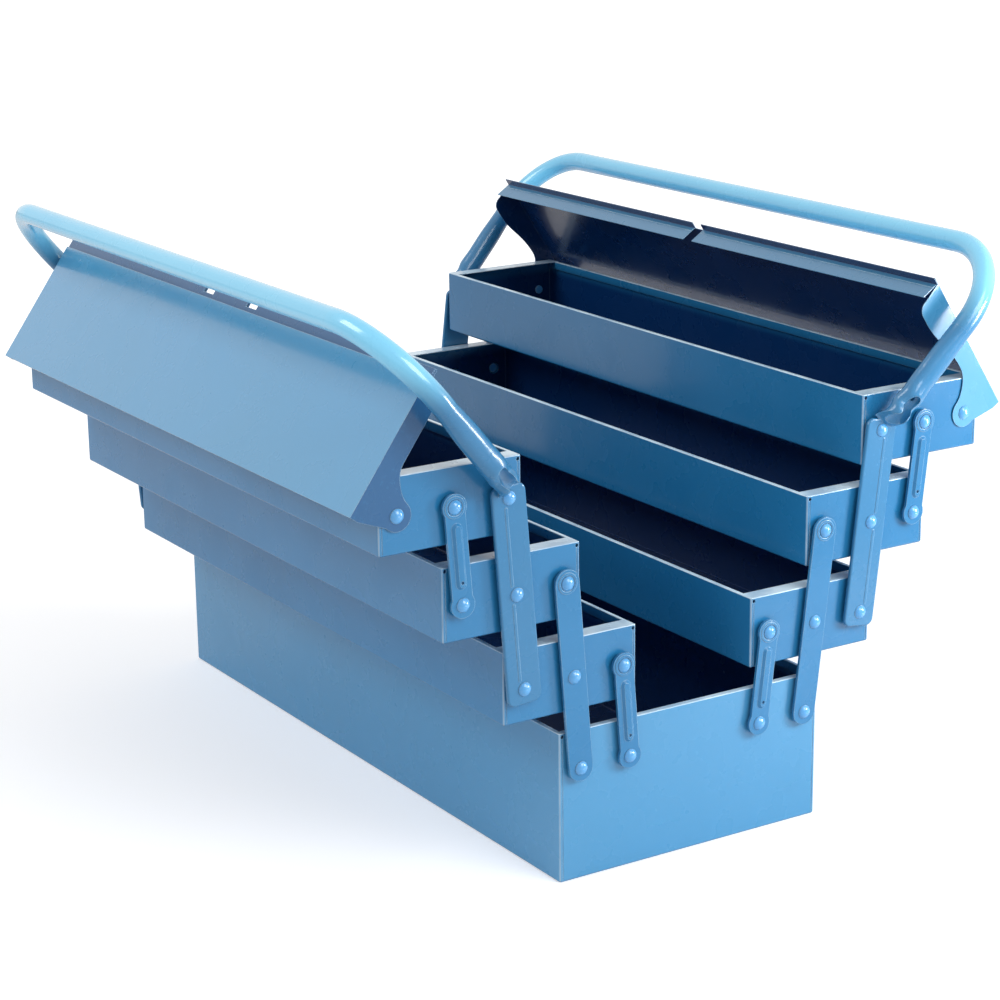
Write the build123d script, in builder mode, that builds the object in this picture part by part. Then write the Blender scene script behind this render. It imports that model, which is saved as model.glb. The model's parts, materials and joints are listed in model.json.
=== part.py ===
from build123d import *
import math
import os

os.makedirs("parts", exist_ok=True)

# ---------------------------------------------------------------- sheet and boxes (mm)
box_length = 500.0  # outside length of the base and of every tray
base_width = 197.8  # outside width of the base
base_ledge = 1.4  # the base stands out this far beside the folded trays
base_height = 97.0  # outside height of the base
tray_width = 95.7  # outside width of an upper tray
tray_height = 46.0  # outside height of an upper tray
stack_gap = 1.2  # air between two folded trays
sheet = 0.8  # sheet steel of boxes and lids
bend_radius = 1.6  # outside radius of the folded box corners
rim_radius = 0.6  # outside radius of the folded rims
side_rim = 2.6  # width of the hem along the long walls
side_rim_depth = 6.0  # depth of that hem
tray_end_rim = 11.0  # width of the flange turned in at a tray's ends
base_end_rim = 4.0  # width of the flange turned in at the base's ends
relief_radius = 1.1  # relief hole where two folds meet
relief_inset = 2.3  # from the long wall to the relief hole
relief_drop = 2.2  # from the rim to the relief hole
seam_width = 0.5  # seam under the relief hole
seam_depth = 0.25

# ---------------------------------------------------------------- pivots and links
pivot_pitch = 36.1  # between two neighbouring pivots of one box
tray_pivot_height = 23.0  # pivots above a tray's underside
left_open_lean = 4.5  # lean of the left links from upright, trays spread
right_open_lean = 6.8  # lean of the right links
boss_radius = 5.5  # pressed boss round a pivot
boss_height = 2.3
boss_taper = 20.0
axial_play = 0.1  # between boss, link and rivet head
rivet_radius = 1.8
running_clearance = 0.08  # radial, link hole on rivet
loop_clearance = 0.16  # radial, at the pivots that close a linkage loop
head_radius = 4.5
head_height = 2.6
tail_radius = 3.3
tail_height = 1.0
link_thickness = 2.0
long_link_width = 17.2
short_link_end_radius = 8.0
short_link_width = 13.6
bead_width = 7.0
bead_height = 1.5
bead_taper = 48.0
bead_end_gap = 13.0  # from a pivot to the end of the bead
bead_dimple_radius = 1.0  # small dimple at the bead's lower end
bead_dimple_depth = 1.2
ring_radius = 6.6  # raised ring round the upper pivot of a link
ring_bore_radius = 5.2
ring_height = 0.4

# ---------------------------------------------------------------- handles
tube_radius = 7.0
flat_width = 23.5  # width of the tube where it is pressed flat
flat_thickness = 3.0
flat_edge_radius = 1.2
flat_corner_radius = 5.0
foot_margin = 9.5  # flat end below its lowest pivot
crown_margin = 7.5  # flat end above its highest pivot
line_width = 2.2  # raised line along the flat, between its rivets
line_height = 0.35
line_taper = 45.0
line_offset = 2.8  # the line lies this far outward of the pivots
line_end_gap = 5.2
kink_height = 5.0  # from the highest pivot to the kink
arm_length = 135.8  # from the kink to the axis of the grip
arm_stand_off = 9.4  # from the flat's inner face to the tube's axis at the kink
arm_splay = 10.5  # the tube's axis stands out this much more at the grip
grip_bend_radius = 52.0
grip_gap = 0.5  # between the two folded grips
shoulder_length = 7.0  # from the kink to where the flat has opened out
neck_low_width = 15.2  # width of the arm at the kink
neck_width = 16.3  # width of the arm along its neck
neck_depth = 13.4
neck_slim_start = 50.0  # the neck grows round from here
neck_length = 75.0  # to here, the full round tube
neck_seat = 0.05  # the neck stays this much inside the tube
neck_steps = (0, 1, 2.2, 3.5, 5, 7, 12, 20, 32, 44, 54, 62, 69, 75, 78)  # its sections, from the kink
scoop_start = -3.0  # pressed scoop in the arm's outer face, from the kink
scoop_end = 20.0
scoop_low_radius = 6.4
scoop_high_radius = 3.4
scoop_floor = 0.2  # the scoop starts this far above the flat
scoop_high_rise = 5.9  # from the tube's axis to the scoop's upper end
vent_radius = 1.5  # small hole at the upper end of the scoop
vent_place = 21.0

# ---------------------------------------------------------------- lids
lid_side_clearance = 0.3  # between a tray's end wall and the lid's end plate
lid_swing_clearance = 0.35  # between the tray's rim corner and the panel
lid_pivot_inset = 14.2  # from the panel's outer edge to the pivot
lid_joint_offset = 3.75  # the left lid ends this far left of the middle
lid_overlap = 2.3  # the right lid reaches this far over the left lid's step
right_lid_opening = 56.5
left_lid_opening = 54.5
lid_lip_depth = 3.0  # small fold along the panel's outer edge
ear_corner_drop = 6.0  # straight outer edge of the end plate
ear_radius = 9.4  # lobe of the end plate round the pivot
waist_depth = 13.6  # shallowest place of the end plate
waist_place = 42.0  # from the outer edge to that place
right_cheek_depth = 20.5  # depth of the right end plates near the ridge
left_cheek_depth = 13.6
cheek_place = 84.0
cheek_corner_radius = 7.0
cheek_lean = 3.5  # slant of the end plate's edge beside the ridge
right_ridge_lap = 4.6  # right panel beyond its flange
right_flange_depth = 13.4
right_notch_width = 10.0
flange_crease_place = 4.0  # fine crease along the flange, from the panel
flange_crease_width = 0.5
flange_crease_depth = 0.25
left_step_place = 6.5  # from the left panel's ridge to its step
left_step_depth = 1.2
left_ridge_depth = 3.6  # depth of the left lid's stepped hem
left_ridge_return = 9.0
left_cutout_width = 14.0
left_cutout_spread = 60.0
lid_head_radius = 4.6
lid_head_height = 2.4

# ---------------------------------------------------------------- places that follow
end_wall = box_length / 2
boss_face = end_wall + boss_height
link_plane = boss_face + axial_play
folded_centre = base_width / 2 - base_ledge - tray_width / 2
link_rise = tray_height + stack_gap
link_pitch = math.hypot(pivot_pitch, link_rise)
folded_lean = math.degrees(math.atan2(pivot_pitch, link_rise))
base_pivot_height = base_height + stack_gap + tray_pivot_height - link_rise
plate_inner = end_wall + lid_side_clearance
plate_outer = plate_inner + sheet
tube_base = link_plane + arm_stand_off
tube_corner = tube_base + arm_splay
flat_middle = link_plane + flat_thickness / 2
corner_across = tray_width / 2 - pivot_pitch - rim_radius
corner_up = tray_height - tray_pivot_height - rim_radius
rim_corner_reach = math.hypot(corner_across, corner_up) + rim_radius
lid_pivot_depth = rim_corner_reach + lid_swing_clearance + sheet
lid_edge_folded = folded_centre + pivot_pitch + lid_pivot_inset
right_lid_width = lid_edge_folded + lid_joint_offset + lid_overlap
left_lid_width = lid_edge_folded - lid_joint_offset


def pivot_spot(tier, column, lean):
    """Distance from the middle and height of a pivot; tier 0 is the base, column -1, 0 or 1."""
    tier_shift = pivot_pitch + link_pitch * math.sin(math.radians(lean))
    tier_rise = link_pitch * math.cos(math.radians(lean))
    across = folded_centre + tier * tier_shift + column * pivot_pitch
    height = base_pivot_height + tier * tier_rise
    return across, height


# ---------------------------------------------------------------- boxes
def open_box(width, height, end_rim, bosses, plain_holes):
    """Folded box with hemmed long walls, turned-in end flanges and pressed bosses at its pivots."""
    with BuildPart() as box:
        with BuildSketch(Plane.XY):
            RectangleRounded(box_length, width, bend_radius)
        extrude(amount=height)
        fillet(box.faces().sort_by(Axis.Z)[0].edges(), radius=bend_radius)
        offset(amount=-sheet, openings=box.faces().sort_by(Axis.Z)[-1])
        # flange turned in at both ends
        with BuildSketch(Plane.XY.offset(height - sheet)):
            for end in (1, -1):
                with Locations((end * (end_wall - (end_rim + sheet / 2) / 2 - sheet / 4), 0)):
                    Rectangle(end_rim - sheet / 2, width - 2 * bend_radius)
        extrude(amount=sheet)
        # hem along both long walls
        with BuildSketch(Plane.XY.offset(height - side_rim_depth)):
            for side in (1, -1):
                with Locations((0, side * (width / 2 - (side_rim + sheet / 2) / 2))):
                    Rectangle(box_length - 2 * bend_radius, side_rim - sheet / 2)
        extrude(amount=side_rim_depth)
        fillet(box.faces().sort_by(Axis.Z)[-1].outer_wire().edges(), radius=rim_radius)
        # pressed bosses
        for end in (1, -1):
            for across, up in bosses:
                with BuildSketch(Plane((end * end_wall, across, up), z_dir=(end, 0, 0))):
                    Circle(boss_radius)
                extrude(amount=boss_height, taper=boss_taper)
        for end in (1, -1):
            for across, up in bosses:
                recess = Plane((end * (end_wall - sheet), across, up), z_dir=(end, 0, 0))
                with BuildSketch(recess):
                    Circle(boss_radius - sheet)
                extrude(amount=boss_height, taper=boss_taper, mode=Mode.SUBTRACT)
        # rivet holes
        for end in (1, -1):
            for across, up in bosses + plain_holes:
                hole = Plane((end * (boss_face + sheet), across, up), z_dir=(-end, 0, 0))
                with BuildSketch(hole):
                    Circle(rivet_radius)
                extrude(amount=boss_height + 4 * sheet, mode=Mode.SUBTRACT)
        # relief holes and seams beside the corners
        for end in (1, -1):
            with BuildSketch(Plane((end * end_wall, 0, 0), x_dir=(0, 1, 0), z_dir=(end, 0, 0))):
                for side in (1, -1):
                    corner = side * (width / 2 - relief_inset)
                    with Locations((corner, end * (height - relief_drop))):
                        Circle(relief_radius)
            extrude(amount=-sheet, mode=Mode.SUBTRACT)
            seam_height = height - relief_drop - bend_radius
            seam_middle = bend_radius + seam_height / 2
            with BuildSketch(Plane((end * end_wall, 0, 0), x_dir=(0, 1, 0), z_dir=(end, 0, 0))):
                for side in (1, -1):
                    corner = side * (width / 2 - relief_inset)
                    with Locations((corner, end * seam_middle)):
                        Rectangle(seam_width, seam_height)
            extrude(amount=-seam_depth, mode=Mode.SUBTRACT)
    return box.part


def base_box():
    """Base with two pivots a side at each end."""
    spots = []
    for side in (1, -1):
        for column in (0, 1):
            across, up = pivot_spot(0, column, 0)
            spots.append((side * across, up))
    return open_box(base_width, base_height, base_end_rim, spots, [])


def tray_box(tier, lean):
    """Right tray of a tier, in its spread place."""
    columns = (-1, 0, 1)
    plain = []
    if tier == 3:
        columns = (-1, 0)
        plain = [(pivot_pitch, tray_pivot_height)]
    bosses = [(column * pivot_pitch, tray_pivot_height) for column in columns]
    box = open_box(tray_width, tray_height, tray_end_rim, bosses, plain)
    across, up = pivot_spot(tier, 0, lean)
    return box.moved(Location((0, across, up - tray_pivot_height)))


# ---------------------------------------------------------------- links
def link_frame(tier, column, distance, lean):
    """Sketch plane on a link: local x runs up the link from its lowest pivot."""
    across, up = pivot_spot(tier, column, lean)
    lean_u = math.sin(math.radians(lean))
    lean_z = math.cos(math.radians(lean))
    return Plane((distance, across, up), x_dir=(0, lean_u, lean_z), z_dir=(1, 0, 0))


def long_link(lean):
    """Right front flat bar on three pivots, from the base to tray 2."""
    low = link_frame(0, 1, link_plane, lean)
    face = link_frame(0, 1, link_plane + link_thickness, lean)
    with BuildPart() as bar:
        with BuildSketch(low):
            with Locations((link_pitch, 0)):
                SlotCenterToCenter(2 * link_pitch, long_link_width)
        extrude(amount=link_thickness)
        with BuildSketch(low):
            with Locations((0, 0), (link_pitch, 0), (2 * link_pitch, 0)):
                Circle(rivet_radius + running_clearance)
        extrude(amount=link_thickness, mode=Mode.SUBTRACT)
        chamfer(bar.faces().sort_by(Axis.X)[-1].outer_wire().edges(), length=0.3)
        with BuildSketch(face):
            with Locations((2 * link_pitch, 0)):
                Circle(ring_radius)
                Circle(ring_bore_radius, mode=Mode.SUBTRACT)
        extrude(amount=ring_height)
    return bar.part


def short_link(tier, column, lean):
    """Right front bar with a raised bead, between two neighbouring boxes."""
    low = link_frame(tier, column, link_plane, lean)
    face = link_frame(tier, column, link_plane + link_thickness, lean)
    bead_top = link_frame(tier, column, link_plane + link_thickness + bead_height, lean)
    bead_length = link_pitch - 2 * bead_end_gap + bead_width
    with BuildPart() as bar:
        with BuildSketch(low):
            with Locations((0, 0), (link_pitch, 0)):
                Circle(short_link_end_radius)
            with Locations((link_pitch / 2, 0)):
                Rectangle(link_pitch, short_link_width)
        extrude(amount=link_thickness)
        with BuildSketch(face):
            with Locations((link_pitch / 2, 0)):
                SlotOverall(bead_length, bead_width)
        extrude(amount=bead_height, taper=bead_taper)
        with BuildSketch(bead_top):
            with Locations((bead_end_gap + bead_dimple_radius, 0)):
                Circle(bead_dimple_radius)
        extrude(amount=-bead_dimple_depth, mode=Mode.SUBTRACT)
        with BuildSketch(face):
            with Locations((link_pitch, 0)):
                Circle(ring_radius)
                Circle(ring_bore_radius, mode=Mode.SUBTRACT)
        extrude(amount=ring_height)
        with BuildSketch(low):
            Circle(rivet_radius + running_clearance)
        extrude(amount=link_thickness, mode=Mode.SUBTRACT)
        with BuildSketch(low):
            with Locations((link_pitch, 0)):
                Circle(rivet_radius + loop_clearance)
        extrude(amount=link_thickness, mode=Mode.SUBTRACT)
    return bar.part


# ---------------------------------------------------------------- handles
def smooth(share):
    """Even ease from 0 to 1."""
    share = min(max(share, 0.0), 1.0)
    return share * share * (3 - 2 * share)


def handle_tube(lean):
    """Right handle: bent tube with both ends pressed flat into links on three pivots."""
    leg = link_frame(1, 1, link_plane, lean)
    flat_face = link_frame(1, 1, link_plane + flat_thickness, lean)
    top_across, top_up = pivot_spot(3, -1, lean)
    lean_u = math.sin(math.radians(lean))
    lean_z = math.cos(math.radians(lean))
    kink_across = top_across + kink_height * lean_u
    kink_up = top_up + kink_height * lean_z
    folded_kink = folded_centre - pivot_pitch
    folded_kink -= kink_height * math.sin(math.radians(folded_lean))
    folded_reach = tube_radius + grip_gap / 2 - folded_kink
    arm_lean = folded_lean + lean + math.degrees(math.asin(folded_reach / arm_length))
    arm_u = math.sin(math.radians(arm_lean))
    arm_z = math.cos(math.radians(arm_lean))

    arm_tilt = arm_splay / arm_length

    def tube_axis(along):
        return tube_base + arm_tilt * along

    def across_arm(along, distance):
        """Plane square to the splayed arm, local x pointing outward."""
        return Plane(
            (distance, kink_across + along * arm_u, kink_up + along * arm_z),
            x_dir=(1, -arm_tilt * arm_u, -arm_tilt * arm_z),
            z_dir=(arm_tilt, arm_u, arm_z),
        )

    with BuildPart() as handle:
        # pressed flat end
        with BuildSketch(leg):
            with Locations(((2 * link_pitch + crown_margin - foot_margin) / 2, 0)):
                flat_length = 2 * link_pitch + crown_margin + foot_margin
                RectangleRounded(flat_length, flat_width, flat_corner_radius)
        extrude(amount=flat_thickness)
        rims = handle.faces().sort_by(Axis.X)[-1].edges() + handle.faces().sort_by(Axis.X)[0].edges()
        fillet(rims, radius=flat_edge_radius)
        # neck, from flat to round, ending just inside the tube
        for along in neck_steps:
            open_out = smooth(along / shoulder_length)
            narrow = smooth(along / scoop_end)
            slim = smooth((along - neck_slim_start) / (neck_length - neck_slim_start))
            middle = flat_middle + open_out * (tube_axis(along) - flat_middle)
            deep = flat_thickness + open_out * (neck_depth - flat_thickness)
            deep += slim * (2 * tube_radius - neck_depth)
            wide = neck_low_width + narrow * (neck_width - neck_low_width)
            wide += slim * (2 * tube_radius - neck_width)
            with BuildSketch(across_arm(along, middle)):
                Ellipse(deep / 2 - neck_seat, wide / 2 - neck_seat)
        loft()
        # scoop pressed into the arm, with a small hole at its upper end
        scoop_low = across_arm(scoop_start, link_plane + flat_thickness + scoop_floor + scoop_low_radius)
        scoop_high = across_arm(scoop_end, tube_axis(scoop_end) + scoop_high_rise)
        scoop_run = scoop_high.origin - scoop_low.origin
        with BuildSketch(Plane(scoop_low.origin, z_dir=scoop_run)):
            Circle(scoop_low_radius)
        with BuildSketch(Plane(scoop_high.origin, z_dir=scoop_run)):
            Circle(scoop_high_radius)
        loft(mode=Mode.SUBTRACT)
        with Locations(scoop_high.origin):
            Sphere(scoop_high_radius, mode=Mode.SUBTRACT)
        vent = across_arm(vent_place, tube_axis(vent_place) + tube_radius)
        with BuildSketch(Plane(vent.origin, z_dir=(-1, 0, 0))):
            Circle(vent_radius)
        extrude(amount=tube_radius, mode=Mode.SUBTRACT)
        # raised line along the flat, beside the rivets
        with BuildSketch(flat_face):
            with Locations((link_pitch / 2, -line_offset), (3 * link_pitch / 2, -line_offset)):
                SlotOverall(link_pitch - 2 * line_end_gap, line_width)
        extrude(amount=line_height, taper=line_taper)
        # pivot holes
        with BuildSketch(leg):
            with Locations((0, 0), (2 * link_pitch, 0)):
                Circle(rivet_radius + running_clearance)
            with Locations((link_pitch, 0)):
                Circle(rivet_radius + loop_clearance)
        extrude(amount=2 * flat_thickness, mode=Mode.SUBTRACT)
        mirror(about=Plane.YZ)
        # arms and grip
        arms = Plane((0, kink_across, kink_up), x_dir=(1, 0, 0), z_dir=(0, -arm_z, arm_u))
        with BuildLine(arms) as route:
            FilletPolyline(
                (tube_axis(neck_length), neck_length),
                (tube_corner, arm_length),
                (-tube_corner, arm_length),
                (-tube_axis(neck_length), neck_length),
                radius=grip_bend_radius,
            )
        with BuildSketch(across_arm(neck_length, tube_axis(neck_length))):
            Circle(tube_radius)
        sweep(path=route.line)
    return handle.part


# ---------------------------------------------------------------- lids
def lid_frame(distance, opening, lean):
    """Sketch plane across a right lid: local x from the outer edge to the ridge, y out of the panel."""
    turn = math.radians(opening)
    across, up = pivot_spot(3, 1, lean)
    edge_u = across + lid_pivot_inset * math.cos(turn) + lid_pivot_depth * math.sin(turn)
    edge_z = up - lid_pivot_inset * math.sin(turn) + lid_pivot_depth * math.cos(turn)
    return Plane(
        (distance, edge_u, edge_z),
        x_dir=(0, -math.cos(turn), math.sin(turn)),
        z_dir=(-1, 0, 0),
    )


def lid_end_plate(plate_end, cheek_depth):
    """End plate of a lid, flat: x from the outer edge to the ridge, y out of the panel."""
    pivot = (lid_pivot_inset, -lid_pivot_depth)
    left_point = (pivot[0] - ear_radius * 0.97, pivot[1] + ear_radius * 0.243)
    right_point = (pivot[0] + ear_radius * 0.97, pivot[1] - ear_radius * 0.243)
    bottom = (pivot[0], pivot[1] - ear_radius)
    rise = waist_place - right_point[0]
    climb = -waist_depth - right_point[1]
    corner_end = plate_end - cheek_lean
    cheek_end = corner_end - cheek_corner_radius
    cheek_start = min(cheek_place, cheek_end - 1)
    with BuildSketch() as plate:
        with BuildLine():
            Line((0, 0), (0, -ear_corner_drop))
            Line((0, -ear_corner_drop), left_point)
            ThreePointArc(left_point, bottom, right_point)
            Spline(
                right_point,
                (right_point[0] + rise * 0.36, right_point[1] + climb * 0.66),
                (waist_place, -waist_depth),
                tangents=[(0.243, 0.97), (1.0, 0.0)],
            )
            Spline(
                (waist_place, -waist_depth),
                ((waist_place + cheek_start) / 2, -(waist_depth * 0.55 + cheek_depth * 0.45)),
                (cheek_start, -cheek_depth),
                tangents=[(1.0, 0.0), (1.0, 0.0)],
            )
            Line((cheek_start, -cheek_depth), (cheek_end, -cheek_depth))
            RadiusArc(
                (cheek_end, -cheek_depth),
                (corner_end, cheek_corner_radius - cheek_depth),
                -cheek_corner_radius,
            )
            Line((corner_end, cheek_corner_radius - cheek_depth), (plate_end, 0))
            Line((plate_end, 0), (0, 0))
        make_face()
        with Locations(pivot):
            Circle(rivet_radius + running_clearance, mode=Mode.SUBTRACT)
    return plate.sketch


def strip(start, top, wide, deep):
    """Rectangle of a folded section, from its upper corner nearest the outer edge."""
    with Locations((start + wide / 2, -top - deep / 2)):
        Rectangle(wide, deep)


def right_lid_sheet():
    """Right lid: panel, outer lip, two end plates and a deep flange with a lap beyond it."""
    hem = right_lid_width - right_ridge_lap
    end_plate = lid_end_plate(hem, right_cheek_depth)

    def section(distance):
        return lid_frame(distance, right_lid_opening, right_open_lean)

    with BuildPart() as lid:
        with BuildSketch(section(plate_outer)):
            strip(0, 0, right_lid_width, sheet)
            strip(0, 0, sheet, lid_lip_depth)
        extrude(amount=2 * plate_outer)
        with BuildSketch(section(plate_inner)):
            strip(hem - sheet, 0, sheet, right_flange_depth - sheet / 2)
            with Locations((hem - sheet / 2, sheet / 2 - right_flange_depth)):
                Circle(sheet / 2)
        extrude(amount=2 * plate_inner)
        with BuildSketch(section(plate_inner)):
            strip(hem - flange_crease_depth, flange_crease_place, flange_crease_depth, flange_crease_width)
        extrude(amount=2 * plate_inner, mode=Mode.SUBTRACT)
        for distance in (plate_outer, -plate_inner):
            with BuildSketch(section(distance)):
                add(end_plate)
            extrude(amount=sheet)
        # notch of the ridge at mid length
        with BuildSketch(section(right_notch_width / 2)):
            strip(hem - sheet, 0, sheet + right_ridge_lap, right_flange_depth)
        extrude(amount=right_notch_width, mode=Mode.SUBTRACT)
    return lid.part


def left_lid_sheet():
    """Left lid, drawn on the right: panel, outer lip, two end plates and a stepped ridge hem."""
    step = left_lid_width - left_step_place
    end_plate = lid_end_plate(step, left_cheek_depth)

    def section(distance):
        return lid_frame(distance, left_lid_opening, left_open_lean)

    with BuildPart() as lid:
        with BuildSketch(section(plate_outer)):
            strip(0, 0, step, sheet)
            strip(0, 0, sheet, lid_lip_depth)
            strip(step - sheet, 0, sheet, left_step_depth + sheet)
            strip(step - sheet, left_step_depth, left_step_place + sheet, sheet)
        extrude(amount=2 * plate_outer)
        with BuildSketch(section(plate_inner)):
            strip(left_lid_width - sheet, left_step_depth, sheet, left_ridge_depth - left_step_depth)
            hem_start = left_lid_width - left_ridge_return
            strip(hem_start, left_ridge_depth - sheet, left_ridge_return, sheet)
        extrude(amount=2 * plate_inner)
        for distance in (plate_outer, -plate_inner):
            with BuildSketch(section(distance)):
                add(end_plate)
            extrude(amount=sheet)
        # two small cut-outs of the ridge hem beside mid length
        for side in (1, -1):
            start = side * left_cutout_spread / 2 + left_cutout_width / 2
            with BuildSketch(section(start)):
                reach = left_step_place / 2
                strip(left_lid_width - reach, 0, reach, left_ridge_depth)
            extrude(amount=left_cutout_width, mode=Mode.SUBTRACT)
    return lid.part


# ---------------------------------------------------------------- rivets
def rivet(tail_face, seat_face, dome_radius, dome_height):
    """Rivet on the X axis: shank between two faces, a domed head outside and a flat tail inside."""
    cap = (dome_radius ** 2 + dome_height ** 2) / (2 * dome_height)
    turn = math.asin(dome_radius / cap) / 2
    middle = (seat_face + dome_height - cap + cap * math.cos(turn), cap * math.sin(turn))
    with BuildPart() as pin:
        with BuildSketch(Plane.XY):
            with BuildLine():
                Line((tail_face - tail_height, 0), (tail_face - tail_height, tail_radius))
                Line((tail_face - tail_height, tail_radius), (tail_face, tail_radius))
                Line((tail_face, tail_radius), (tail_face, rivet_radius))
                Line((tail_face, rivet_radius), (seat_face, rivet_radius))
                Line((seat_face, rivet_radius), (seat_face, dome_radius))
                ThreePointArc((seat_face, dome_radius), middle, (seat_face + dome_height, 0))
                Line((seat_face + dome_height, 0), (tail_face - tail_height, 0))
            make_face()
        revolve(axis=Axis.X)
    return pin.part


boss_tail = boss_face - sheet
bar_seat = link_plane + link_thickness + axial_play
flat_seat = link_plane + flat_thickness + axial_play
lid_seat = plate_outer + axial_play
bar_rivet = rivet(boss_tail, bar_seat, head_radius, head_height)
flat_rivet = rivet(boss_tail, flat_seat, head_radius, head_height)
lid_rivet = rivet(end_wall - sheet, lid_seat, lid_head_radius, lid_head_height)


def rivet_group(placed, lean):
    """Right rivets of one box at both ends; each entry is a rivet with its tier and column."""
    with BuildPart() as group:
        for pin, tier, column in placed:
            across, up = pivot_spot(tier, column, lean)
            with Locations((0, across, up)):
                add(pin)
        mirror(about=Plane.YZ)
    return group.part


# ---------------------------------------------------------------- all pieces
pieces = {}
pieces["base_tray"] = base_box()
right_base_rivets = rivet_group([(bar_rivet, 0, 0), (bar_rivet, 0, 1)], 0)
pieces["base_rivets"] = right_base_rivets + right_base_rivets.mirror(Plane.XZ)


def side_pieces(lean):
    """Trays, links, handle and rivets of one side, drawn on the right."""
    tray_1_pins = [(bar_rivet, 1, -1), (bar_rivet, 1, 0), (flat_rivet, 1, 1)]
    tray_2_pins = [(bar_rivet, 2, -1), (flat_rivet, 2, 0), (bar_rivet, 2, 1)]
    tray_3_pins = [(flat_rivet, 3, -1), (bar_rivet, 3, 0)]
    side = {
        "tray_1": tray_box(1, lean),
        "tray_2": tray_box(2, lean),
        "tray_3": tray_box(3, lean),
        "handle": handle_tube(lean),
        "tray_1_rivets": rivet_group(tray_1_pins, lean),
        "tray_2_rivets": rivet_group(tray_2_pins, lean),
        "tray_3_rivets": rivet_group(tray_3_pins, lean),
        "lid_pivot_rivets": rivet_group([(lid_rivet, 3, 1)], lean),
        "front_lower_long_link": long_link(lean),
        "front_lower_short_link": short_link(0, 0, lean),
        "front_upper_short_link": short_link(2, 1, lean),
    }
    for link in ("lower_long_link", "lower_short_link", "upper_short_link"):
        side["rear_" + link] = side["front_" + link].mirror(Plane.YZ)
    return side


for name, shape in side_pieces(right_open_lean).items():
    pieces["right_" + name] = shape
for name, shape in side_pieces(left_open_lean).items():
    pieces["left_" + name] = shape.mirror(Plane.XZ)
pieces["right_lid"] = right_lid_sheet()
pieces["left_lid"] = left_lid_sheet().mirror(Plane.XZ)

for name, shape in pieces.items():
    shape.label = name
    export_step(shape, "parts/" + name + ".step")
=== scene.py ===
import json
import math
from collections import namedtuple

import bmesh
import bpy
from mathutils import Matrix, Vector


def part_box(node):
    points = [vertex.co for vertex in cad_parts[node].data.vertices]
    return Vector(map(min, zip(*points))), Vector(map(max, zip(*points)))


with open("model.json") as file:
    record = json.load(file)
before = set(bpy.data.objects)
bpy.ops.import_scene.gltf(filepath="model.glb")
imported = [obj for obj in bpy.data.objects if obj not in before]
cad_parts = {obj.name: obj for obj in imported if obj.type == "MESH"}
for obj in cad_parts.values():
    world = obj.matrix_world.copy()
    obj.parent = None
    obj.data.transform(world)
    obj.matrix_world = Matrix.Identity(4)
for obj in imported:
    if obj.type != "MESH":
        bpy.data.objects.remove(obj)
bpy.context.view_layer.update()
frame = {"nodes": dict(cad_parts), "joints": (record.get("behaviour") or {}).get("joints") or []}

nodes = frame["nodes"]
scene = bpy.context.scene

ALONG_BOX = (1, 0, 0)
ACROSS_BOX = (0, 1, 0)
UP = (0, 0, 1)
DOWN = (0, 0, -1)

# ---------------------------------------------------------------- the steel's sizes, as in the CAD (m)
SHEET = 0.0008  # thickness of the sheet of the boxes and lids
BOSS = 0.0023  # the pivots' bosses stand out this far from a box's ends
LID_EDGE = 0.0142  # from a lid's pivot to the outer edge of its panel
LID_FACE = 0.02677  # from a lid's pivot to the outer face of its panel
LID_END_PLATE = 0.2507  # from the box's middle to the middle of a lid's end plate
RIDGE_FOLD = {"left": 0.0893, "right": 0.1010}  # from a lid's outer edge to the sheet folded at its ridge

# ---------------------------------------------------------------- where one paint ends (m)
SOFT = 0.0002  # softness of the border between two paints
RIM_HIGHLIGHT_DEPTH = 0.0005  # depth of the painted highlight along the top of a rim
CORNER_HIGHLIGHT = 0.0014  # the painted highlight on the bend at a box's corner starts this far from the corner
CORNER_HIGHLIGHT_FULL = CORNER_HIGHLIGHT / 3  # and is full here
INSIDE_SHADE_FULL = 0.0125  # the painted shade inside a box is at its darkest this far below the rim
LAP_SHADE_FULL = 1.2 * SHEET  # the right lid's lap has the painted shade of its underside down to here, from its outer face
LAP_SHADE_END = 1.6 * SHEET  # and none from here
GRIP_HIGHLIGHT_LOW = 0.310  # height at which the handles' painted highlight begins
GRIP_HIGHLIGHT_HIGH = 0.345  # and at which it is full, as on the grip

# ---------------------------------------------------------------- colours
TRAY_BLUE = (0.014, 0.160, 0.355)  # the trays and the links
BASE_BLUE = (0.055, 0.258, 0.480)
LID_BLUE = (0.062, 0.280, 0.500)
LID_END_SHADE_BLUE = (0.020, 0.105, 0.250)  # painted shade on the left lid's end plates, and painted shadow of the handles on the step of its ridge
HEM_SHADE_BLUE = (0.018, 0.085, 0.185)  # painted shade on the hem of the right lid's ridge
GRIP_HIGHLIGHT_BLUE = (0.200, 0.600, 0.840)  # painted highlight: the handles' grips made pale where the light falls on their tops
ARM_SHADE_BLUE = (0.032, 0.180, 0.365)  # painted shade on the handles' arms and flat ends
RIVET_BLUE = (0.070, 0.330, 0.680)
PALE_BLUE = (0.070, 0.330, 0.640)  # clouds and specks in any enamel
SHADE_INSIDE_BLUE = (0.0020, 0.0280, 0.1150)  # painted shade inside the boxes and under the lids
EDGE_HIGHLIGHT_BLUE = (0.420, 0.640, 0.780)  # painted highlight on edges
RIM_HIGHLIGHT_BLUE = (0.620, 0.780, 0.880)  # painted highlight on rims
FLOOR_WHITE = (0.86, 0.86, 0.87, 1)
LIGHT_WHITE = (1, 1, 1, 1)

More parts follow.
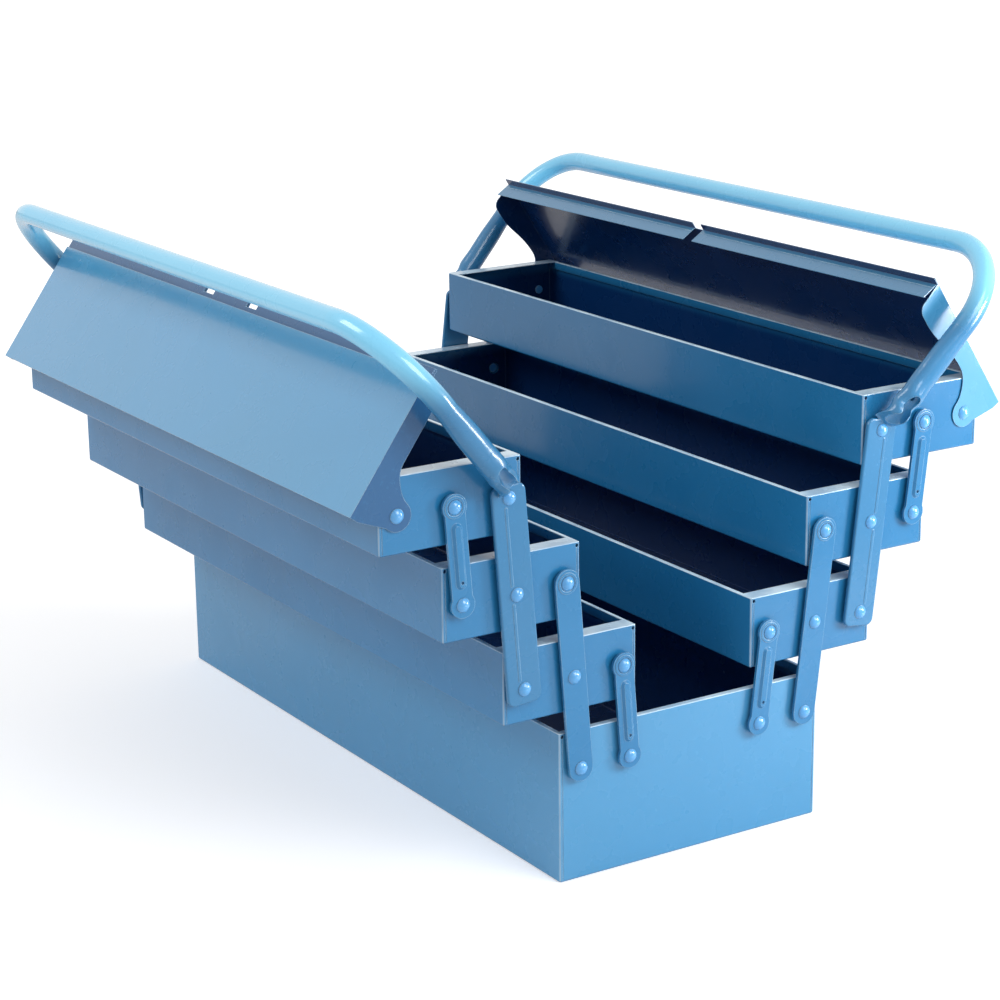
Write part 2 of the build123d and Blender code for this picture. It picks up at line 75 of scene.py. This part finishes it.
# ---------------------------------------------------------------- the enamel's patterns
# noise: its scale (1/m) and detail, and the values between which a patch fades in
Patches = namedtuple("Patches", "scale detail low high")
CLOUDS = Patches(7.0, 3.0, 0.35, 0.65)
SPECKS = Patches(420.0, 2.0, 0.60, 0.72)
# patches that break up the painted highlights on edges and on rims
EDGE_HIGHLIGHT_PATCHES = Patches(60.0, 4.0, 0.35, 0.60)
RIM_HIGHLIGHT_PATCHES = Patches(45.0, 3.0, 0.30, 0.60)
HAZE = Patches(35.0, 4.0, 0.3, 0.7)
CLOUD_SHARE = 0.12  # how far the clouds go towards the pale blue
SPECK_SHARE = 0.10  # and the specks
LEAST_EDGE_HIGHLIGHT = 0.45  # painted highlight on the faintest stretches of an edge, against the brightest
LEAST_RIM_HIGHLIGHT = 0.55  # share of the painted highlight on a rim, least
MOST_RIM_HIGHLIGHT = 0.95  # and most
BEND_HIGHLIGHT_SHARE = 0.45  # how strong the painted highlight on the bend at a box's corner is, against the rim
HAZE_CLEARER = 0.04  # the haze takes this much off an enamel's roughness
HAZE_DULLER = 0.07  # and adds this much

# noise: its scale (1/m) and detail, and the strength and depth (m) of the relief
Relief = namedtuple("Relief", "scale detail strength depth")
ORANGE_PEEL = Relief(260.0, 3.0, 0.05, 0.0004)
DENTS = Relief(9.0, 1.0, 0.05, 0.004)

# cosine between the rounded and the flat normal: an edge's painted highlight fades in from one to the
# other
EDGE_FLAT = 0.995
EDGE_SHARP = 0.93
EDGE_SAMPLES = 6

PAINT_IOR = 1.4
CLEAR_IOR = 1.55  # of the clear gloss over the paint
CLEAR_ROUGH = 0.12
DULL_SHARE = 0.60  # how much less clear gloss lies on the painted shade inside and on the second painted shade


# ---------------------------------------------------------------- paint
class Paint:
    """A material under construction: its nodes, its Principled shader and the place of its points."""

    def __init__(self, name):
        self.material = bpy.data.materials.new(name)
        self.material.use_nodes = True
        self.tree = self.material.node_tree
        self.shader = self.tree.nodes["Principled BSDF"]
        self.place = self.add("ShaderNodeTexCoord").outputs["Object"]

    def add(self, kind, **settings):
        """New shader node."""
        made = self.tree.nodes.new(kind)
        for key, value in settings.items():
            setattr(made, key, value)
        return made

    def join(self, value, socket):
        """Links another node's output to a socket, or sets a plain value on it."""
        if isinstance(value, bpy.types.NodeSocket):
            self.tree.links.new(value, socket)
        else:
            socket.default_value = value

    def dress(self, values):
        """Sets inputs of the Principled shader by their names."""
        for name, value in values.items():
            self.join(value, self.shader.inputs[name])

    def math(self, operation, *values):
        """Result of a sum on shares and distances."""
        made = self.add("ShaderNodeMath", operation=operation)
        for value, socket in zip(values, made.inputs):
            self.join(value, socket)
        return made.outputs[0]

    def both(self, first, second):
        """Share of what lies in two shares at once."""
        return self.math("MULTIPLY", first, second)

    def either(self, first, second):
        """Share of what lies in one share or the other."""
        return self.math("MAXIMUM", first, second)

    def between(self, value, low, high, to_low=0.0, to_high=1.0):
        """Maps value from low..high to another range with a soft start and end."""
        made = self.add("ShaderNodeMapRange", interpolation_type="SMOOTHSTEP")
        for key, number in (
            ("From Min", low), ("From Max", high), ("To Min", to_low), ("To Max", to_high),
        ):
            made.inputs[key].default_value = number
        self.join(value, made.inputs["Value"])
        return made.outputs[0]

    def above(self, value, limit):
        """1 where value is above limit, 0 below it."""
        return self.between(value, limit - SOFT, limit + SOFT)

    def below(self, value, limit):
        """1 where value is below limit, 0 above it."""
        return self.between(value, limit - SOFT, limit + SOFT, 1.0, 0.0)

    def along(self, direction, origin=(0, 0, 0)):
        """Distance of each point from origin along a direction."""
        shift = self.add("ShaderNodeVectorMath", operation="SUBTRACT")
        self.join(self.place, shift.inputs[0])
        shift.inputs[1].default_value = origin
        dot = self.add("ShaderNodeVectorMath", operation="DOT_PRODUCT")
        self.join(shift.outputs[0], dot.inputs[0])
        dot.inputs[1].default_value = direction
        return dot.outputs["Value"]

    def aside(self, direction, origin=(0, 0, 0)):
        """Distance of each point from origin to either side along a direction."""
        return self.math("ABSOLUTE", self.along(direction, origin))

    def noise(self, pattern):
        """Noise of a pattern, fixed to the piece."""
        made = self.add("ShaderNodeTexNoise")
        made.inputs["Scale"].default_value = pattern.scale
        made.inputs["Detail"].default_value = pattern.detail
        self.join(self.place, made.inputs["Vector"])
        return made.outputs[0]

    def patches(self, pattern, to_low=0.0, to_high=1.0):
        """Patches of a pattern, as a value that goes from to_low to to_high."""
        return self.between(self.noise(pattern), pattern.low, pattern.high, to_low, to_high)

    def relief(self, pattern, normal):
        """Normal with a pattern's relief laid over it."""
        made = self.add("ShaderNodeBump")
        made.inputs["Strength"].default_value = pattern.strength
        made.inputs["Distance"].default_value = pattern.depth
        self.join(self.noise(pattern), made.inputs["Height"])
        self.join(normal, made.inputs["Normal"])
        return made.outputs[0]

    def rounded(self, radius):
        """Normal of the surface as if its edges had a radius."""
        made = self.add("ShaderNodeBevel", samples=EDGE_SAMPLES)
        made.inputs["Radius"].default_value = radius
        return made.outputs[0]

    def edge_share(self, radius):
        """1 on sharp edges, 0 on flat faces."""
        flat = self.add("ShaderNodeNewGeometry")
        dot = self.add("ShaderNodeVectorMath", operation="DOT_PRODUCT")
        self.join(self.rounded(radius), dot.inputs[0])
        self.join(flat.outputs["True Normal"], dot.inputs[1])
        return self.between(dot.outputs["Value"], EDGE_SHARP, EDGE_FLAT, 1.0, 0.0)

    def blend(self, share, first, second):
        """Colour that goes from first to second as share goes from 0 to 1."""
        made = self.add("ShaderNodeMix", data_type="RGBA")
        self.join(share, made.inputs["Factor"])
        sockets = [socket for socket in made.inputs if socket.type == "RGBA"]
        for value, socket in zip((first, second), sockets):
            if isinstance(value, tuple):
                value = (*value, 1.0)
            self.join(value, socket)
        return next(socket for socket in made.outputs if socket.type == "RGBA")


def enamel(name, blue, inside=None, rim_highlight=None, shaded=None, shaded_blue=None,
           edge_highlight=0.5, rough=0.26, edge_radius=0.0006, gloss=1.0):
    """Gloss enamel with soft clouds of tone, orange peel and a painted highlight on its edges.

    inside, rim_highlight and shaded give shares of the painted shade inside, of the painted highlight on
    rims and of a second painted shade, which is shaded_blue.
    """
    paint = Paint(name)
    paler = tuple(a + CLOUD_SHARE * (b - a) for a, b in zip(blue, PALE_BLUE))
    colour = paint.blend(paint.patches(CLOUDS), blue, paler)
    dull = 0.0
    # a second painted shade: the lids' end plates and ridge hems, the handles' arms
    if shaded:
        dull = shaded(paint)
        colour = paint.blend(dull, colour, shaded_blue)
    colour = paint.blend(paint.patches(SPECKS, 0.0, SPECK_SHARE), colour, PALE_BLUE)
    # painted highlight on the edges, broken into patches
    highlight_patches = paint.patches(EDGE_HIGHLIGHT_PATCHES, edge_highlight * LEAST_EDGE_HIGHLIGHT, edge_highlight)
    colour = paint.blend(paint.both(paint.edge_share(edge_radius), highlight_patches), colour, EDGE_HIGHLIGHT_BLUE)
    # painted shade inside the boxes and under the lids
    if inside:
        within = inside(paint)
        colour = paint.blend(within, colour, SHADE_INSIDE_BLUE)
        dull = paint.either(within, dull)
    # painted highlight on the rims and on the bends at the boxes' corners
    if rim_highlight:
        patchy = paint.patches(RIM_HIGHLIGHT_PATCHES, LEAST_RIM_HIGHLIGHT, MOST_RIM_HIGHLIGHT)
        colour = paint.blend(paint.both(rim_highlight(paint), patchy), colour, RIM_HIGHLIGHT_BLUE)
    clear = gloss
    if inside or shaded:
        clear = paint.math("MULTIPLY_ADD", dull, -DULL_SHARE * gloss, gloss)
    peeled = paint.relief(ORANGE_PEEL, paint.rounded(edge_radius))
    surface = paint.relief(DENTS, peeled)
    paint.dress({
        "Base Color": colour,
        "Roughness": paint.patches(HAZE, rough - HAZE_CLEARER, rough + HAZE_DULLER),
        "IOR": PAINT_IOR,
        "Normal": surface,
        "Coat Weight": clear,
        "Coat Roughness": CLEAR_ROUGH,
        "Coat IOR": CLEAR_IOR,
        "Coat Normal": surface,
    })
    return paint.material


def coat(node, material):
    """Gives the whole of a node one material."""
    slots = nodes[node].data.materials
    for place in range(len(slots)):
        slots[place] = material
    if not slots:
        slots.append(material)


# ---------------------------------------------------------------- boxes
def box_sizes(node):
    """Middle of a box and half of its outside length and width, without the bosses."""
    low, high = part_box(node)
    return (low + high) / 2, (high.x - low.x) / 2 - BOSS, (high.y - low.y) / 2


def box_inside_shade(node):
    """Share of painted shade for a box: 1 inside its walls and below its rims."""
    low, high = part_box(node)
    middle, half_long, half_wide = box_sizes(node)

    def share(paint):
        walls = paint.both(
            paint.below(paint.aside(ALONG_BOX, middle), half_long - SHEET / 2),
            paint.below(paint.aside(ACROSS_BOX, middle), half_wide - SHEET / 2),
        )
        heights = paint.both(
            paint.between(paint.along(DOWN, (0, 0, high.z)), SHEET / 2, INSIDE_SHADE_FULL),
            paint.above(paint.along(UP, (0, 0, low.z)), SHEET / 2),
        )
        return paint.both(walls, heights)

    return share


def box_rim_highlight(node):
    """Share of painted highlight for a box: its rim and the bends at its four corners."""
    low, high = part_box(node)
    middle, half_long, half_wide = box_sizes(node)

    def bend(paint, direction, half):
        return paint.between(paint.aside(direction, middle), half - CORNER_HIGHLIGHT, half - CORNER_HIGHLIGHT_FULL)

    def share(paint):
        rim = paint.below(paint.along(DOWN, (0, 0, high.z)), RIM_HIGHLIGHT_DEPTH)
        bends = paint.both(bend(paint, ALONG_BOX, half_long), bend(paint, ACROSS_BOX, half_wide))
        return paint.either(rim, paint.both(bends, BEND_HIGHLIGHT_SHARE))

    return share


base_enamel = enamel(
    "base_enamel", BASE_BLUE, box_inside_shade("base_tray"), box_rim_highlight("base_tray"), gloss=0.6,
)
coat("base_tray", base_enamel)
for side in ("left", "right"):
    for tier in (1, 2, 3):
        node = f"{side}_tray_{tier}"
        tray_enamel = enamel(
            f"{node}_enamel", TRAY_BLUE, box_inside_shade(node), box_rim_highlight(node), gloss=0.4,
        )
        coat(node, tray_enamel)


# ---------------------------------------------------------------- lids
def lid_lines(side):
    """Pivot of an open lid and two directions: in from its outer face, and on to its ridge."""
    joint = next(joint for joint in frame["joints"] if joint["name"] == f"{side}_lid_turn")
    opening = math.radians(joint["range_deg"][1])
    outward = 1 if side == "right" else -1
    inward = (0, -outward * math.sin(opening), -math.cos(opening))
    ridgeward = (0, -outward * math.cos(opening), math.sin(opening))
    return joint["pos_m"], inward, ridgeward


def lid_underside_shade(side):
    """Share of painted shade for a lid: 1 on the side of its panel that faces the tray."""
    pivot, inward, ridgeward = lid_lines(side)

    def share(paint):
        depth = paint.math("ADD", paint.along(inward, pivot), LID_FACE)
        reach = paint.math("ADD", paint.along(ridgeward, pivot), LID_EDGE)
        under = paint.both(
            paint.above(depth, SHEET / 2),
            paint.below(paint.aside(ALONG_BOX), LID_END_PLATE),
        )
        kept = paint.below(reach, RIDGE_FOLD[side])
        if side == "right":
            lap = paint.between(depth, LAP_SHADE_FULL, LAP_SHADE_END, 1.0, 0.0)
            kept = paint.either(kept, lap)
        return paint.both(under, kept)

    return share


def lid_end_and_hem_shade(side, with_ends):
    """Share of painted shade on a lid: the hem of its ridge, where on the left lid it is the handles'
    painted shadow, and its end plates if wanted.
    """
    pivot, _, ridgeward = lid_lines(side)
    fold = RIDGE_FOLD[side]

    def share(paint):
        reach = paint.math("ADD", paint.along(ridgeward, pivot), LID_EDGE)
        hem = paint.between(reach, fold, fold + SHEET)
        if not with_ends:
            return hem
        ends = paint.between(
            paint.aside(ALONG_BOX), LID_END_PLATE + SHEET / 4, LID_END_PLATE + SHEET / 2,
        )
        return paint.either(ends, hem)

    return share


left_lid_enamel = enamel(
    "left_lid_enamel", LID_BLUE, lid_underside_shade("left"),
    shaded=lid_end_and_hem_shade("left", with_ends=True), shaded_blue=LID_END_SHADE_BLUE, edge_highlight=0.7,
)
coat("left_lid", left_lid_enamel)
right_lid_enamel = enamel(
    "right_lid_enamel", LID_BLUE, lid_underside_shade("right"),
    shaded=lid_end_and_hem_shade("right", with_ends=False), shaded_blue=HEM_SHADE_BLUE, edge_highlight=0.7,
)
coat("right_lid", right_lid_enamel)


# ---------------------------------------------------------------- handles, links and rivets
def handle_arm_shade(paint):
    """Share of painted shade on a handle: its arms and flat ends, below the painted highlight on the
    grip.
    """
    return paint.between(paint.along(UP), GRIP_HIGHLIGHT_LOW, GRIP_HIGHLIGHT_HIGH, 1.0, 0.0)


# handles: painted highlight on the tops, painted shade on the arms
handle_enamel = enamel(
    "handle_enamel", GRIP_HIGHLIGHT_BLUE, shaded=handle_arm_shade, shaded_blue=ARM_SHADE_BLUE, edge_highlight=0.35, rough=0.24,
)
link_enamel = enamel("link_enamel", TRAY_BLUE, edge_highlight=0.6, gloss=0.4)
rivet_enamel = enamel("rivet_enamel", RIVET_BLUE, edge_highlight=0.8, edge_radius=0.0008)
for node in nodes:
    if node.endswith("_handle"):
        coat(node, handle_enamel)
    if node.endswith("_link"):
        coat(node, link_enamel)
    if node.endswith("rivets"):
        coat(node, rivet_enamel)

# ---------------------------------------------------------------- floor
FLOOR_HALF = 9.0  # m
FLOOR_ROUGH = 0.9
FLOOR_SHINE = 0.1
LIFT_NEAR = 0.30  # light that the camera sees on top of the floor's own, beside the box
LIFT_FAR = 0.64  # and far from it, so that the floor comes out white
LIFT_START = 0.5  # m from the box's middle
LIFT_END = 1.8

floor_mesh = bpy.data.meshes.new("studio_floor")
floor_shape = bmesh.new()
bmesh.ops.create_grid(floor_shape, x_segments=1, y_segments=1, size=FLOOR_HALF)
floor_shape.to_mesh(floor_mesh)
floor_shape.free()
studio_floor = bpy.data.objects.new("studio_floor", floor_mesh)
scene.collection.objects.link(studio_floor)
floor_paint = Paint("floor_white")
rays = floor_paint.add("ShaderNodeLightPath")
away = floor_paint.add("ShaderNodeVectorMath", operation="LENGTH")
floor_paint.join(floor_paint.place, away.inputs[0])
lift = floor_paint.between(away.outputs["Value"], LIFT_START, LIFT_END, LIFT_NEAR, LIFT_FAR)
floor_paint.dress({
    "Base Color": FLOOR_WHITE,
    "Roughness": FLOOR_ROUGH,
    "Specular IOR Level": FLOOR_SHINE,
    "Emission Color": LIGHT_WHITE,
    "Emission Strength": floor_paint.both(rays.outputs["Is Camera Ray"], lift),
})
floor_mesh.materials.append(floor_paint.material)

# ---------------------------------------------------------------- world and lamps
WORLD_SOFT = 0.55  # light of the surroundings on matt paint
WORLD_SEEN = 1.0  # and as seen or mirrored

world = bpy.data.worlds.new("studio")
scene.world = world
world.use_nodes = True
sky = world.node_tree
background = sky.nodes["Background"]
background.inputs["Color"].default_value = LIGHT_WHITE
seen = sky.nodes.new("ShaderNodeLightPath")
either = sky.nodes.new("ShaderNodeMath")
either.operation = "MAXIMUM"
sky.links.new(seen.outputs["Is Camera Ray"], either.inputs[0])
sky.links.new(seen.outputs["Is Glossy Ray"], either.inputs[1])
level = sky.nodes.new("ShaderNodeMapRange")
level.inputs["To Min"].default_value = WORLD_SOFT
level.inputs["To Max"].default_value = WORLD_SEEN
sky.links.new(either.outputs[0], level.inputs["Value"])
sky.links.new(level.outputs[0], background.inputs["Strength"])


def lamp(name, place, target, size, power):
    """Square lamp of a size (m) and power (W) at a place, turned to a target."""
    light = bpy.data.lights.new(name, "AREA")
    light.size = size
    light.energy = power
    made = bpy.data.objects.new(name, light)
    made.location = place
    made.rotation_euler = (Vector(target) - Vector(place)).to_track_quat("-Z", "Y").to_euler()
    scene.collection.objects.link(made)


lamp("key_lamp", place=(1.9, 0.5, 1.5), target=(0.1, 0, 0.15), size=1.2, power=24)
lamp("side_lamp", place=(-0.6, -2.2, 2.4), target=(0, 0, 0.2), size=1.6, power=40)
lamp("end_lamp", place=(0.62, 0.52, 0.32), target=(0.25, 0.32, 0.25), size=0.20, power=3.4)

# ---------------------------------------------------------------- camera
CAMERA_PLACE = Vector((1.45989, -0.90227, 0.65760))  # m
CAMERA_HEADING = 2.57866  # rad, from +X towards +Y
CAMERA_DIP = 0.27770  # rad below the horizon
CAMERA_ROLL = -0.01215  # rad
FOCAL_SHARE = 2.58521  # focal length over the picture's width
SENSOR_WIDTH = 36  # mm
CLIP_START = 0.05  # m

forward = Vector((
    math.cos(CAMERA_HEADING) * math.cos(CAMERA_DIP),
    math.sin(CAMERA_HEADING) * math.cos(CAMERA_DIP),
    -math.sin(CAMERA_DIP),
))
level_right = Vector((math.sin(CAMERA_HEADING), -math.cos(CAMERA_HEADING), 0))
level_up = level_right.cross(forward)
right = math.cos(CAMERA_ROLL) * level_right + math.sin(CAMERA_ROLL) * level_up
up = math.cos(CAMERA_ROLL) * level_up - math.sin(CAMERA_ROLL) * level_right
turn = Matrix((right, up, -forward)).transposed().to_4x4()
lens = bpy.data.cameras.new("camera")
lens.sensor_width = SENSOR_WIDTH
lens.lens = SENSOR_WIDTH * FOCAL_SHARE
lens.clip_start = CLIP_START
camera = bpy.data.objects.new("camera", lens)
camera.matrix_world = Matrix.Translation(CAMERA_PLACE) @ turn
scene.collection.objects.link(camera)
bpy.context.scene.camera = camera
bpy.context.scene.view_settings.view_transform = "Standard"

bpy.context.view_layer.update()
